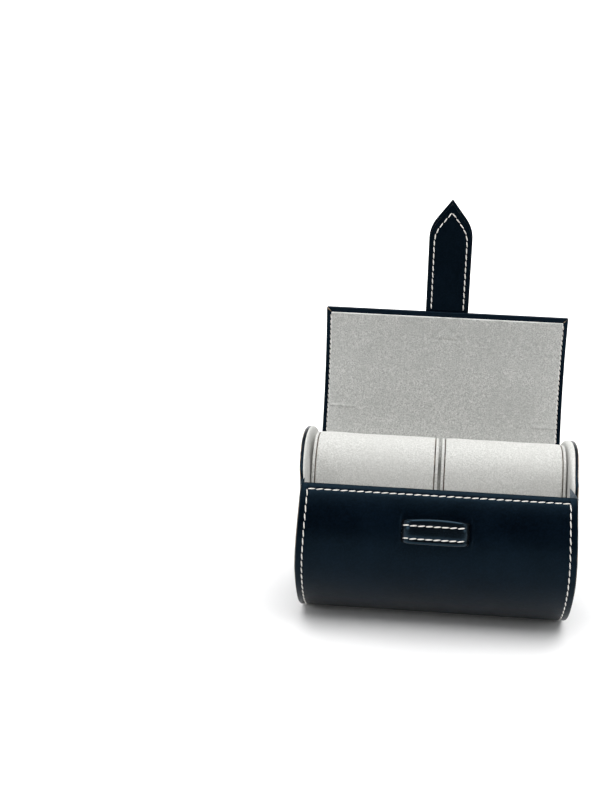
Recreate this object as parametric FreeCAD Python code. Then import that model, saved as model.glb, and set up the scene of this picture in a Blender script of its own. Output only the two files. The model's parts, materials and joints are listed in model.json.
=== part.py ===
import FreeCAD, Part
import os
from math import atan, cos, degrees, hypot, radians, sin, tan

V = FreeCAD.Vector

# Travel case for two watches: a leather drum with round end panels, a flexible lid that
# curls over the top, a strap that goes through a keeper on the front, and two cushions
# that lift out. X runs along the case, -Y is the front, Z = 0 is the surface it stands on.
# It is shown open: lid up behind the cushions, strap straight up from the lid's edge.

# Case, in millimetres and degrees
case_length = 130.0
disc_radius = 43.0
leather = 1.2
board = 0.6
lining = 0.6
stand_depth = 1.5
wrap_front_angle = 41.5
hinge_angle = 154.0

# End panels
end_padding = 2.9
end_suede = 0.8
end_leather = 1.2
end_proud = 0.6
end_bevel = 0.7

# Lid
lid_front_angle = 49.7
lid_overhang = 0.2
lid_clearance = 0.3
lid_turned_edge = 2.6
lid_plates = 5
hinge_setback = 0.95
hinge_board_gap = 0.2
bend_gap = 0.06
lid_tilt = 24.0
lid_rest_bend = 7.0

# Strap
strap_width = 23.1
strap_outer = 1.1
strap_under = 0.9
strap_root = 17.0
strap_half_plate = 7.5
strap_last_plate = 14.2
strap_clearance = 0.3
strap_taper = 21.5
strap_point = 9.7
strap_bend_gap = 0.1
under_step = 2.2
point_width_share = 0.65
curve_width_share = 0.9
curve_length_share = 0.66

# Keeper
keeper_width = 29.5
keeper_band = 12.0
keeper_leather = 1.3
keeper_passage = 3.5
keeper_corner = 3.2
keeper_angle = 16.6

# Cushions
cushion_half_depth = 19.5
cushion_top_drop = 1.5
cushion_clearance = 0.3
cushion_side_gap = 0.6
cushion_middle_gap = 1.4
cushion_cap = 2.0
cushion_suede = 0.8
shoulder_depth_share = 0.78
shoulder_height_share = 0.72
sleeve_place_shares = (0.0, 0.15, 0.5, 0.85, 1.0)
sleeve_size_shares = (0.982, 0.996, 1.0, 0.996, 0.982)
core_size_share = 0.97
cap_place_shares = (0.0, 0.5, 1.0)
cap_size_shares = (0.985, 0.995, 0.965)

# One overrun for every cut
overrun = 5.0

# Worked out from the values above
shell = leather + board + lining
wrap_radius = disc_radius + shell
axis_height = wrap_radius - stand_depth
half_length = case_length / 2
end_face = half_length + end_proud - end_leather
end_inner = end_face - end_padding - end_suede
lid_half_width = half_length + lid_overhang
X_AXIS = V(1, 0, 0)
CENTRE = V(0, 0, axis_height)


def outward(angle):
    """Away from the drum's axis; the angle runs from the front over the top to the back."""
    return V(0, -cos(radians(angle)), sin(radians(angle)))


def up_plate(tilt):
    """Along a plate that stands up and leans back by the tilt."""
    return V(0, sin(radians(tilt)), cos(radians(tilt)))


def out_of_plate(tilt):
    """Out of the outer face of a plate that leans back by the tilt."""
    return V(0, cos(radians(tilt)), -sin(radians(tilt)))


def drum(inset, low, high):
    """The case's section, inset from its outside, with the flat that it stands on."""
    round_part = Part.makeCylinder(wrap_radius - inset, high - low, V(low, 0, axis_height), X_AXIS)
    above = Part.makeBox(high - low, 2 * wrap_radius, 2 * wrap_radius, V(low, -wrap_radius, inset))
    return round_part.common(above)


def save(shape, node):
    """One STEP file for each piece, which is one solid."""
    shape.Solids[0].exportStep("parts/" + node + ".step")
    print(node, len(shape.Solids), round(shape.Volume, 1), shape.isValid())


# Wrap: leather, board and lining round the bottom, the front and the back

closed_tilt = hinge_angle - 180


def wrap_mouth():
    """The sector that the wrap leaves open, set back at the hinge so that the lid can bend."""
    far = 2 * wrap_radius
    start = CENTRE - up_plate(closed_tilt) * hinge_setback
    corners = [CENTRE, start, start + outward(hinge_angle) * far, CENTRE + V(0, far, far),
               CENTRE + V(0, -far, far), CENTRE + outward(wrap_front_angle) * far, CENTRE]
    sector = Part.Face(Part.makePolygon([corner - X_AXIS * case_length for corner in corners]))
    return sector.extrude(X_AXIS * (2 * case_length))


def wrap_layer(outer, inner):
    ring = drum(outer, -half_length, half_length)
    ring = ring.cut(drum(inner, -half_length - overrun, half_length + overrun))
    return ring.cut(wrap_mouth())


# Keeper: a leather bridge whose feet go down through two slits in the wrap

def keeper_bridge():
    """The band's profile across the front, as high as the band and square to the surface."""
    foot = wrap_radius - leather
    inside = wrap_radius + keeper_passage
    outside = inside + keeper_leather
    outer_x = keeper_width / 2
    inner_x = outer_x - keeper_leather
    outer_corner = keeper_corner + keeper_leather
    diagonal = 1 - cos(radians(45))

    def at(x, radius):
        return V(x, -radius, axis_height - keeper_band / 2)

    def bend(x, radius, corner, side):
        """A quarter circle from the side of the bridge to its flat."""
        start = at(side * x, radius - corner)
        middle = at(side * (x - corner * diagonal), radius - corner * diagonal)
        return start, middle, at(side * (x - corner), radius)

    edges = []
    for side in (-1, 1):
        low_out, mid_out, top_out = bend(outer_x, outside, outer_corner, side)
        low_in, mid_in, top_in = bend(inner_x, inside, keeper_corner, side)
        edges.append(Part.Arc(low_out, mid_out, top_out).toShape())
        edges.append(Part.Arc(low_in, mid_in, top_in).toShape())
        edges.append(Part.makeLine(at(side * outer_x, foot), low_out))
        edges.append(Part.makeLine(at(side * inner_x, foot), low_in))
        edges.append(Part.makeLine(at(side * outer_x, foot), at(side * inner_x, foot)))
    edges.append(Part.makeLine(at(outer_corner - outer_x, outside), at(outer_x - outer_corner, outside)))
    edges.append(Part.makeLine(at(keeper_corner - inner_x, inside), at(inner_x - keeper_corner, inside)))
    bridge = Part.Face(Part.Wire(Part.__sortEdges__(edges))).extrude(V(0, 0, keeper_band))
    bridge.rotate(CENTRE, X_AXIS, -keeper_angle)
    return bridge


# End panels: a suede cover over a stiff core, inside an outer disc of leather

def bevelled_disc(radius, low, high, bevel):
    """A disc about the drum's axis, its inner rim bevelled, flat where the case stands."""
    def at(x, distance):
        return CENTRE + V(x, -distance, 0)

    rim = radius - bevel
    outline = [at(low, 0), at(low, rim), at(low + bevel, radius), at(high, radius), at(high, 0), at(low, 0)]
    disc = Part.Face(Part.makePolygon(outline)).revolve(CENTRE, X_AXIS, 360)
    floor = wrap_radius - radius
    below = Part.makeBox(high - low + 2 * overrun, 2 * wrap_radius, wrap_radius,
                         V(low - overrun, -wrap_radius, floor - wrap_radius))
    return disc.cut(below)


def end_panel(side, name):
    cover = bevelled_disc(disc_radius, end_inner, end_face, end_bevel)
    core = drum(shell + end_suede, end_inner + end_suede, end_face)
    outer = drum(shell, end_face, end_face + end_leather)
    for shape, piece in ((cover.cut(core), "suede"), (core, "core"), (outer, "leather")):
        if side < 0:
            shape = shape.mirror(V(0, 0, 0), X_AXIS)
        save(shape, "end_" + name + "_" + piece)


# Lid: plates that lie tangent to the end panels when the lid is closed

lid_inner_radius = disc_radius + lid_clearance
plate_turn = (hinge_angle - lid_front_angle) / (lid_plates - 0.5)
half_plate = lid_inner_radius * tan(radians(plate_turn / 2))
hinge_depth = shell - leather / 2
hinge_axis = CENTRE + outward(hinge_angle) * (lid_inner_radius + hinge_depth)


def plate_length(number):
    """The first plate starts where the closed lid leaves the wrap, so it is half as long."""
    return half_plate if number == 1 else 2 * half_plate


def plate_tilt(number):
    return lid_tilt - lid_rest_bend * (number - 1)


def plate_foot(number):
    """The lower end of a plate's inner face, as the lid stands open."""
    foot = hinge_axis - out_of_plate(lid_tilt) * hinge_depth
    for lower in range(1, number):
        foot = foot + up_plate(plate_tilt(lower)) * plate_length(lower)
    return foot


def stand_up(shape, foot, tilt):
    """Lean a shape drawn upright at the origin back by the tilt and move it to its foot."""
    shape = shape.copy()
    shape.rotate(V(0, 0, 0), X_AXIS, -tilt)
    shape.translate(foot)
    return shape


def slab(half_width, inner, outer, low, high):
    """An upright plate between two depths, counted from the lid's inner face."""
    return Part.makeBox(2 * half_width, outer - inner, high - low, V(-half_width, inner, low))


def lid_plate(number):
    """One plate: leather with its edges turned in, and the board and lining they frame."""
    low = bend_gap
    high = plate_length(number) - bend_gap
    inside_low = low
    inside_high = high
    if number == 1:
        low = 0
        inside_low = hinge_board_gap
    if number == lid_plates:
        high = plate_length(number)
        inside_high = high - lid_turned_edge
    framed = lid_half_width - lid_turned_edge
    skin = shell - leather
    hide = slab(lid_half_width, skin, shell, low, high)
    if number == 1:
        nose = Part.makeCylinder(leather / 2, 2 * lid_half_width, V(-lid_half_width, hinge_depth, 0), X_AXIS)
        hide = hide.fuse(nose)
    frame = slab(lid_half_width, 0, skin, inside_low, high)
    window = slab(framed, -overrun, skin, inside_low - overrun, inside_high)
    pieces = {
        "leather": hide.fuse(frame.cut(window)).removeSplitter(),
        "board": slab(framed, lining, skin, inside_low, inside_high),
        "lining": slab(framed, 0, lining, inside_low, inside_high),
    }
    for piece, shape in pieces.items():
        save(stand_up(shape, plate_foot(number), plate_tilt(number)), "lid_%d_%s" % (number, piece))


# Strap: two layers of leather, sewn outside the last plate and running on past its edge

strap_inner_radius = wrap_radius + strap_clearance
strap_turn = 2 * degrees(atan(strap_half_plate / strap_inner_radius))
front_tilt = plate_tilt(lid_plates)
strap_base = plate_foot(lid_plates) + up_plate(front_tilt) * plate_length(lid_plates)
strap_base = strap_base + out_of_plate(front_tilt) * shell
strap_lengths = [half_plate + strap_half_plate] + [2 * strap_half_plate] * 2 + [strap_last_plate]
strap_free = sum(strap_lengths)


def strap_layer(inner, outer, tip):
    """The strap's whole outline, from the end of its root to its point, as one thick layer."""
    half = strap_width / 2
    point_half = half * point_width_share
    curve_half = half * curve_width_share
    shoulder = tip - strap_taper
    curve = tip - strap_taper * curve_length_share
    point = tip - strap_point

    def at(x, z):
        return V(x, inner, z)

    edges = [
        Part.makeLine(at(-half, -strap_root), at(half, -strap_root)),
        Part.makeLine(at(half, -strap_root), at(half, shoulder)),
        Part.Arc(at(half, shoulder), at(curve_half, curve), at(point_half, point)).toShape(),
        Part.makeLine(at(point_half, point), at(0, tip)),
        Part.makeLine(at(0, tip), at(-point_half, point)),
        Part.Arc(at(-point_half, point), at(-curve_half, curve), at(-half, shoulder)).toShape(),
        Part.makeLine(at(-half, shoulder), at(-half, -strap_root)),
    ]
    return Part.Face(Part.Wire(edges)).extrude(V(0, outer - inner, 0))


def strap():
    layers = {
        "under": strap_layer(0, strap_under, strap_free - under_step),
        "outer": strap_layer(strap_under, strap_under + strap_outer, strap_free),
    }
    for layer, whole in layers.items():
        start = -strap_root
        spans = [("strap_root_" + layer, start, -strap_bend_gap)]
        start = 0
        for number, length in enumerate(strap_lengths, 1):
            low = start + strap_bend_gap
            high = start + length - strap_bend_gap
            if number == len(strap_lengths):
                high = high + overrun
            spans.append(("strap_%d_%s" % (number, layer), low, high))
            start = start + length
        for node, low, high in spans:
            part = whole.common(slab(strap_width, -overrun, overrun, low, high))
            save(stand_up(part, strap_base, front_tilt), node)


# Cushions: an oval pillow in a suede sleeve, narrower than the case so that a watch fits round

cushion_low = shell + cushion_clearance
cushion_high = axis_height + disc_radius - cushion_top_drop
cushion_half_height = (cushion_high - cushion_low) / 2
cushion_centre = (cushion_high + cushion_low) / 2
cushion_length = end_inner - cushion_side_gap - cushion_middle_gap / 2


def oval(x, half_depth, half_height):
    """The pillow's section: four arcs that meet smoothly at its shoulders."""
    def at(y, z):
        return V(x, y, cushion_centre + z)

    depth = half_depth * shoulder_depth_share
    height = half_height * shoulder_height_share
    corners = [at(-depth, height), at(depth, height), at(depth, -height), at(-depth, -height)]
    middles = [at(0, half_height), at(half_depth, 0), at(0, -half_height), at(-half_depth, 0)]
    arcs = []
    for index, middle in enumerate(middles):
        arcs.append(Part.Arc(corners[index], middle, corners[(index + 1) % 4]).toShape())
    return Part.Wire(arcs)


def pillow(low, length, places, sizes):
    """A loft through ovals that swell and draw in along the cushion."""
    sections = []
    for place, size in zip(places, sizes):
        sections.append(oval(low + length * place, cushion_half_depth * size, cushion_half_height * size))
    return Part.makeLoft(sections, True, True)


def cushion(side, name):
    first = cushion_middle_gap / 2
    sleeve_low = first + cushion_cap
    sleeve_length = cushion_length - 2 * cushion_cap
    outside = pillow(sleeve_low, sleeve_length, sleeve_place_shares, sleeve_size_shares)
    core_depth = cushion_half_depth * core_size_share - cushion_suede
    core_height = cushion_half_height * core_size_share - cushion_suede
    core = Part.Face(oval(sleeve_low, core_depth, core_height)).extrude(X_AXIS * sleeve_length)
    cap = pillow(0, cushion_cap, cap_place_shares, cap_size_shares)
    outer_cap = cap.copy()
    outer_cap.translate(V(sleeve_low + sleeve_length, 0, 0))
    inner_cap = cap.mirror(V(0, 0, 0), X_AXIS)
    inner_cap.translate(V(sleeve_low, 0, 0))
    pieces = {"sleeve": outside.cut(core), "core": core, "cap_outer": outer_cap, "cap_inner": inner_cap}
    for piece, shape in pieces.items():
        if side < 0:
            shape = shape.mirror(V(0, 0, 0), X_AXIS)
        save(shape, "cushion_" + name + "_" + piece)


os.makedirs("parts", exist_ok=True)
bridge = keeper_bridge()
save(wrap_layer(0, leather).cut(bridge), "wrap_leather")
save(wrap_layer(leather, leather + board), "wrap_board")
save(wrap_layer(leather + board, shell), "wrap_lining")
save(bridge, "keeper_band")
for side, name in ((-1, "left"), (1, "right")):
    end_panel(side, name)
    cushion(side, name)
for number in range(1, lid_plates + 1):
    lid_plate(number)
strap()
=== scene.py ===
import bpy
import bmesh
import json
import math
import numpy as np
from mathutils import Matrix, Vector, noise


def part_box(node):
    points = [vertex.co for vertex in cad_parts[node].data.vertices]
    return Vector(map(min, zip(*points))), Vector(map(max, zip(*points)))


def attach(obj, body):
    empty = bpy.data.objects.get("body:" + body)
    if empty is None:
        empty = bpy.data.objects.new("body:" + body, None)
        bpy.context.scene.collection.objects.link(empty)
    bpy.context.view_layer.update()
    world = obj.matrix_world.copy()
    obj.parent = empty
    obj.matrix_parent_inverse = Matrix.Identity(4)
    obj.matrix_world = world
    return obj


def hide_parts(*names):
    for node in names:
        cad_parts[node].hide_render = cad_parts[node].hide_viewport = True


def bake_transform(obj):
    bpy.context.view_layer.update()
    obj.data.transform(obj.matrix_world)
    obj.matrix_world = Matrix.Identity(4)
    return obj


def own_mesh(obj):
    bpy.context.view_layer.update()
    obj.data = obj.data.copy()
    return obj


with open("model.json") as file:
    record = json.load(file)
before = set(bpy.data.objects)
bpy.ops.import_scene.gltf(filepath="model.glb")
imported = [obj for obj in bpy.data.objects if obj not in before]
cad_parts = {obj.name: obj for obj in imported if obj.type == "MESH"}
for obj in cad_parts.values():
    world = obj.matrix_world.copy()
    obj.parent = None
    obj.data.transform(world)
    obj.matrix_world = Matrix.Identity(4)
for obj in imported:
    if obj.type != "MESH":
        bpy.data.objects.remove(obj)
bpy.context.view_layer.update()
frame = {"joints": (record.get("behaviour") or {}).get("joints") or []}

# Travel case for two watches, standing open: leather drum, curling lid, strap, keeper and
# two cushions. Lengths are in metres, and mm turns a figure in millimetres into metres.
mm = 0.001

# Sizes that come from the frame
JOINT = {joint["name"]: joint for joint in frame["joints"]}


def joint_place(name):
    return Vector(JOINT[name]["pos_m"])


def node_box(name):
    """The low and high corner of a CAD node's box."""
    return [Vector(corner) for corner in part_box(name)]


SIDES = ((-1, "left"), (1, "right"))
wrap_low, wrap_high = node_box("wrap_leather")
disc_low, disc_high = node_box("end_right_leather")
pad_low, pad_high = node_box("end_right_suede")
LINING = 0.6 * mm
SHELL = disc_low.z - wrap_low.z
HALF_LENGTH = wrap_high.x
WRAP_RADIUS = (wrap_high.y - wrap_low.y) / 2
INNER_RADIUS = WRAP_RADIUS - SHELL
AXIS_Z = disc_high.z - INNER_RADIUS
LID_HALF_WIDTH = node_box("lid_5_leather")[1].x
STRAP_HALF_WIDTH = node_box("strap_1_outer")[1].x
STRAP_OUTER = 1.1 * mm
STRAP_UNDER = 0.9 * mm
STRAP_THICK = STRAP_OUTER + STRAP_UNDER

# Angles run from the front over the top to the back, in degrees
FRONT_EDGE = 41.5
HINGE = 154.0
LID_TILT = 24.0
LID_BEND = 7.0

# Cameras and light match the photograph
SENSOR = 36
FOCAL_PIXELS = 957.13
PRINCIPAL = (390.18, 354.18)
IMAGE = (600, 800)
CAMERA_PITCH = math.radians(13.447)
CAMERA_ROLL = math.radians(2.306)
CAMERA_HEIGHT = 239.45 * mm
CASE_PLACE = (27.06 * mm, 456.79 * mm)
CASE_YAW = math.radians(-2.964)


# Shader maths: an expression on values adds its own Math nodes

def plug(tree, value, socket):
    """Link a value or a socket; set a number or a colour."""
    if isinstance(value, Value):
        value = value.socket
    if isinstance(value, bpy.types.NodeSocket):
        tree.links.new(value, socket)
    else:
        socket.default_value = value


def add_node(tree, kind, settings=None, **inputs):
    """A node of a type, its settings first, then the values or links of its sockets."""
    node = tree.nodes.new(kind)
    for key, value in (settings or {}).items():
        setattr(node, key, value)
    for key, value in inputs.items():
        plug(tree, value, node.inputs[key.replace("_", " ")])
    return node


class Value:
    """A socket in a material, with the arithmetic that a shader needs."""

    def __init__(self, tree, socket):
        self.tree = tree
        self.socket = socket

    def maths(self, operation, other):
        node = add_node(self.tree, "ShaderNodeMath", {"operation": operation})
        plug(self.tree, self, node.inputs[0])
        plug(self.tree, other, node.inputs[1])
        return Value(self.tree, node.outputs[0])

    def __add__(self, other):
        return self.maths("ADD", other)

    def __mul__(self, other):
        return self.maths("MULTIPLY", other)

    def __sub__(self, other):
        return self.maths("SUBTRACT", other)

    def __rsub__(self, other):
        return self * -1.0 + other

    __radd__ = __add__
    __rmul__ = __mul__

    def step(self, low, high):
        """Smooth rise from 0 at low to 1 at high."""
        node = add_node(self.tree, "ShaderNodeMapRange", {"interpolation_type": "SMOOTHSTEP"},
                        Value=self, From_Min=low, From_Max=high)
        return Value(self.tree, node.outputs["Result"])


# Where the Mix node keeps its factor, its two colours and the mixed colour
MIX_INPUTS = (0, 6, 7)
MIX_RESULT = 2


class Material:
    """A Principled material built from nodes."""

    def __init__(self, name, **settings):
        self.material = bpy.data.materials.new(name)
        self.material.use_nodes = True
        self.tree = self.material.node_tree
        self.shader = self.tree.nodes["Principled BSDF"]
        for socket, value in settings.items():
            self.shader.inputs[socket.replace("_", " ")].default_value = value

    def node(self, kind, settings=None, output=0, **inputs):
        return Value(self.tree, add_node(self.tree, kind, settings, **inputs).outputs[output])

    def place(self):
        return self.node("ShaderNodeTexCoord", output="Object")

    def noise(self, scale, detail=3.0, rough=0.5):
        """Noise whose scale is given as waves in a millimetre."""
        return self.node("ShaderNodeTexNoise", Vector=self.place(), Scale=scale / mm, Detail=detail,
                         Roughness=rough)

    def mix(self, factor, first, second):
        """A colour between two others."""
        node = add_node(self.tree, "ShaderNodeMix", {"data_type": "RGBA"})
        for index, value in zip(MIX_INPUTS, (factor, first, second)):
            plug(self.tree, value, node.inputs[index])
        return Value(self.tree, node.outputs[MIX_RESULT])

    def feed(self, socket, value):
        self.tree.links.new(value.socket, self.shader.inputs[socket])

    def bump(self, height, depth):
        """A bump from a height between 0 and 1 that stands for a depth in metres."""
        self.feed("Normal", self.node("ShaderNodeBump", Height=height * depth, Distance=1.0, Strength=1.0))


def colour(red, green, blue):
    return (red, green, blue, 1.0)


def make_leather(name, dark, light, rough, depth, gloss):
    """Smooth leather: fine pores, broad cloudy wear and a soft broken gloss."""
    leather = Material(name, Specular_IOR_Level=gloss, Specular_Tint=colour(0.36, 0.7, 1.0))
    pores = leather.node("ShaderNodeTexVoronoi", {"feature": "F1"}, Vector=leather.place(), Scale=1.7 / mm,
                         Randomness=1.0).step(0.08, 0.5)
    fine = leather.noise(3.2, 4.0, 0.6)
    cloud = leather.noise(0.045, 3.0, 0.55)
    wrinkle = leather.noise(0.33, 2.0, 0.5)
    speckle = leather.noise(1.1, 2.0, 0.6)
    worn = cloud.step(0.3, 0.75) * 0.5 + speckle.step(0.42, 0.6) * 0.5
    leather.feed("Base Color", leather.mix(worn, dark, light))
    leather.feed("Roughness", rough + (cloud - 0.5) * 0.16 + (fine - 0.5) * 0.12)
    leather.bump(pores * 0.35 + fine * 0.35 + wrinkle * 0.9, depth)
    return leather.material


def make_suede(name, shade, deep, light, fibre):
    """Brushed suede: a mottled nap, lighter where the fibres lie over."""
    suede = Material(name, Specular_IOR_Level=0.1, Sheen_Weight=0.12, Sheen_Roughness=0.5, Roughness=0.95)
    grain = suede.noise(1.3, 3.0, 0.75)
    speck = suede.noise(2.4, 2.0, 0.6)
    mottle = suede.noise(0.35, 4.0, 0.65)
    drift = suede.noise(0.05, 2.0, 0.5)
    body = suede.mix((grain * 0.6 + speck * 0.4).step(0.4, 0.6), deep, light)
    body = suede.mix((mottle * 0.6 + drift * 0.4).step(0.4, 0.6) * 0.45, body, shade)
    suede.feed("Base Color", body)
    suede.bump(grain * 0.7 + speck * 0.4 + mottle * 0.4, fibre)
    return suede.material


def make_thread(name, shade, dark):
    """Waxed sewing thread: two plies that twist round each other."""
    thread = Material(name, Specular_IOR_Level=0.3, Roughness=0.65)
    plies = thread.node("ShaderNodeTexWave", {"bands_direction": "DIAGONAL"}, Vector=thread.place(),
                        Scale=0.9 / mm, Distortion=1.0)
    thread.feed("Base Color", thread.mix(plies.step(0.1, 0.8), dark, shade))
    thread.bump(plies, 0.08 * mm)
    return thread.material


def make_edge(name, dark, light):
    """The cut edge of leather: painted, with the brown fibres showing through."""
    edge = Material(name, Specular_IOR_Level=0.3)
    fibres = edge.noise(1.4, 4.0, 0.7)
    worn = edge.noise(0.25, 3.0, 0.6)
    edge.feed("Base Color", edge.mix(worn.step(0.4, 0.62), dark, light))
    edge.feed("Roughness", 0.55 + fibres * 0.3)
    edge.bump(fibres, 0.12 * mm)
    return edge.material


LEATHER = make_leather("navy_black_leather", colour(0.0001, 0.0006, 0.0018), colour(0.0014, 0.0041, 0.0088),
                       0.32, 0.06 * mm, 0.125)
UNDER = make_leather("strap_back_leather", colour(0.0001, 0.0009, 0.0024), colour(0.0019, 0.0042, 0.0082),
                     0.4, 0.03 * mm, 0.06)
GLOSSY = make_leather("keeper_leather", colour(0.0006, 0.0008, 0.0012), colour(0.0016, 0.002, 0.0026),
                      0.26, 0.05 * mm, 0.4)
EDGE = make_edge("painted_cut_edge", colour(0.03, 0.025, 0.02), colour(0.26, 0.19, 0.13))
# Paler than the lining's suede: the cut edge, with a painted highlight along it.
PALE_EDGE_HIGHLIGHT = make_edge("lining_edge_painted_highlight", colour(0.6, 0.6, 0.58), colour(0.82, 0.82, 0.8))
# Many times lighter than the wrap's leather: a painted grey-blue sheen on the right corner tab, where it
# faces up into the light.
FOLDED_TAB_SHEEN = make_leather("folded_tab_painted_sheen", colour(0.05, 0.062, 0.074), colour(0.11, 0.125, 0.14),
                      0.5, 0.03 * mm, 0.1)
# A darker copy of the cushions' suede: painted shade on the linings of lid and wrap.
SHADED_LINING_SUEDE = make_suede("lining_suede_painted_shade", colour(0.37, 0.375, 0.36), colour(0.31, 0.315, 0.3),
                   colour(0.57, 0.57, 0.55), 0.14 * mm)
CUSHION = make_suede("cushion_suede", colour(0.52, 0.52, 0.497), colour(0.45, 0.45, 0.43),
                     colour(0.64, 0.64, 0.615), 0.12 * mm)
# A lighter copy of the cushions' suede: painted light on the end panels' inner faces, which the lamps reach
# only at a grazing angle.
LIT_PANEL_SUEDE = make_suede("panel_suede_painted_light", colour(0.56, 0.56, 0.537), colour(0.51, 0.51, 0.49),
                   colour(0.69, 0.69, 0.665), 0.1 * mm)
SEAM = make_edge("cushion_seam", colour(0.08, 0.067, 0.058), colour(0.22, 0.18, 0.15))
THREAD = make_thread("off_white_thread", colour(0.95, 0.92, 0.88), colour(0.7, 0.66, 0.61))


# Mesh helpers

MERGE = 0.002 * mm
SHARP = math.radians(35.0)


def add_object(name, data):
    thing = bpy.data.objects.new(name, data)
    bpy.context.scene.collection.objects.link(thing)
    return thing


def skin(name, rings, materials, edge_test=None):
    """A closed skin through rings of points; edge_test picks the second material by ring and side.

    Doubled points are merged, the faces turn outwards, and shading is smooth between sharp creases.
    """
    count = len(rings[0])
    last = (len(rings) - 1) * count
    faces = []
    marks = []
    for row in range(len(rings) - 1):
        for side in range(count):
            here = row * count + side
            following = row * count + (side + 1) % count
            faces.append((here, following, following + count, here + count))
            marks.append(1 if edge_test and edge_test(row, side) else 0)
    faces += [tuple(range(count)), tuple(range(last, last + count))]
    marks += [1 if edge_test else 0] * 2
    mesh = bpy.data.meshes.new(name)
    mesh.from_pydata([tuple(point) for ring in rings for point in ring], [], faces)
    for polygon, mark in zip(mesh.polygons, marks):
        polygon.material_index = mark
    work = bmesh.new()
    work.from_mesh(mesh)
    bmesh.ops.remove_doubles(work, verts=work.verts, dist=MERGE)
    bmesh.ops.recalc_face_normals(work, faces=work.faces)
    work.to_mesh(mesh)
    work.free()
    for material in materials:
        mesh.materials.append(material)
    mesh.shade_smooth()
    mesh.set_sharp_from_angle(angle=SHARP)
    return add_object(name, mesh)


def shares_across(half, spacing, marks=()):
    """Places between the two sides as shares of the half width, closer together at the marks."""
    count = max(int(2 * half / spacing), 2)
    places = [-half + 2 * half * index / count for index in range(1, count)]
    for mark in marks:
        places += [mark + shift * mm for shift in (-1.4, -0.9, -0.55, -0.25, 0.0, 0.25, 0.55, 0.9, 1.4)]
    kept = []
    for place in sorted(places):
        if abs(place) < half - 0.15 * mm and (not kept or place - kept[-1] > 0.12 * mm):
            kept.append(place)
    return [place / half for place in kept]


def bar_section(half, low, high, rounding, shares, shrink=0.0):
    """A flat bar's section with rounded edges: points (x, depth) from its lower right corner round."""
    half -= shrink
    low += shrink
    high -= shrink
    rounding = max(min(rounding - shrink, (high - low) / 2), 0.01 * mm)
    points = []

    def corner(x_sign, depth_sign, start):
        centre_x = x_sign * (half - rounding)
        centre_n = low + rounding if depth_sign < 0 else high - rounding
        for step in range(4):
            angle = start + math.pi / 2 * step / 3
            points.append((centre_x + rounding * math.cos(angle), centre_n + rounding * math.sin(angle)))

    corner(1, -1, -math.pi / 2)
    corner(1, 1, 0.0)
    points.extend((share * (half - rounding), high) for share in reversed(shares))
    corner(-1, 1, math.pi / 2)
    corner(-1, -1, math.pi)
    points.extend((share * (half - rounding), low) for share in shares)
    return points


def narrow_sides(shares):
    """Picks the two narrow sides of a bar's section among the faces of a skin."""
    sides = (3, 11 + len(shares))
    return lambda row, side: side in sides


def running(steps):
    """How far along a path each of its points is."""
    return np.concatenate([[0.0], np.cumsum(steps)])


def fade(value, low, high):
    """0 below low, 1 above high, smooth between; low may be the larger one."""
    share = min(max((value - low) / (high - low), 0.0), 1.0)
    return share * share * (3 - 2 * share)


def bell(offset, width):
    return math.exp(-(offset / width) ** 2)


def ripple(x, y, wave, seed):
    """Smooth unevenness between -1 and 1 over a surface, with a wavelength."""
    return noise.noise(Vector((x / wave, y / wave, seed)))


# The flap's line: down the front, under the case, up the back, through the hinge and up the lid

def drum_point(angle, radius):
    turn = math.radians(angle)
    return Vector((0, -radius * math.cos(turn), AXIS_Z + radius * math.sin(turn)))


def leaning(tilt):
    return Vector((0, math.sin(math.radians(tilt)), math.cos(math.radians(tilt))))


def behind(tilt):
    return Vector((0, math.cos(math.radians(tilt)), -math.sin(math.radians(tilt))))


class Line:
    """A path in the plane across the case, walked by its length, with its outward side."""

    def __init__(self, points):
        self.points = [points[0]]
        for point in points[1:]:
            if (point - self.points[-1]).length > 0.02 * mm:
                self.points.append(point)
        steps = [(b - a).length for a, b in zip(self.points, self.points[1:])]
        self.lengths = running(steps)
        self.length = float(self.lengths[-1])
        self.table = np.array([[p.y, p.z] for p in self.points])

    def at(self, distance):
        y = np.interp(distance, self.lengths, self.table[:, 0])
        z = np.interp(distance, self.lengths, self.table[:, 1])
        return Vector((0, y, z))

    def along(self, distance):
        reach = 0.6 * mm
        low = max(distance - reach, 0.0)
        high = min(distance + reach, self.length)
        return (self.at(high) - self.at(low)).normalized()

    def outward(self, distance):
        along = self.along(distance)
        return Vector((0, along.z, -along.y))

    def nearest(self, point):
        gaps = np.hypot(self.table[:, 0] - point.y, self.table[:, 1] - point.z)
        return float(self.lengths[int(np.argmin(gaps))])


def arc_points(start, end, radius):
    """An arc with about a point for each degree."""
    count = max(int(abs(end - start)), 1)
    return [drum_point(start + (end - start) * index / count, radius) for index in range(count + 1)]


plate_feet = [joint_place("lid_bend_%d" % number) for number in range(1, 5)]
HALF_PLATE = (plate_feet[1] - plate_feet[0]).length / 2
lid_start = plate_feet[0] - leaning(LID_TILT) * HALF_PLATE
LID_LENGTH = 9 * HALF_PLATE
LEAVES_DRUM = HINGE + 5.0
WRAP_STOPS = HINGE + 9.0


def lid_tilt_at(distance):
    """How far the open lid leans back at a distance from the hinge."""
    places = [HALF_PLATE / 2] + [2 * HALF_PLATE * (number + 1) for number in range(4)]
    tilts = [LID_TILT - LID_BEND * number for number in range(5)]
    return float(np.interp(distance, places, tilts))


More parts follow.
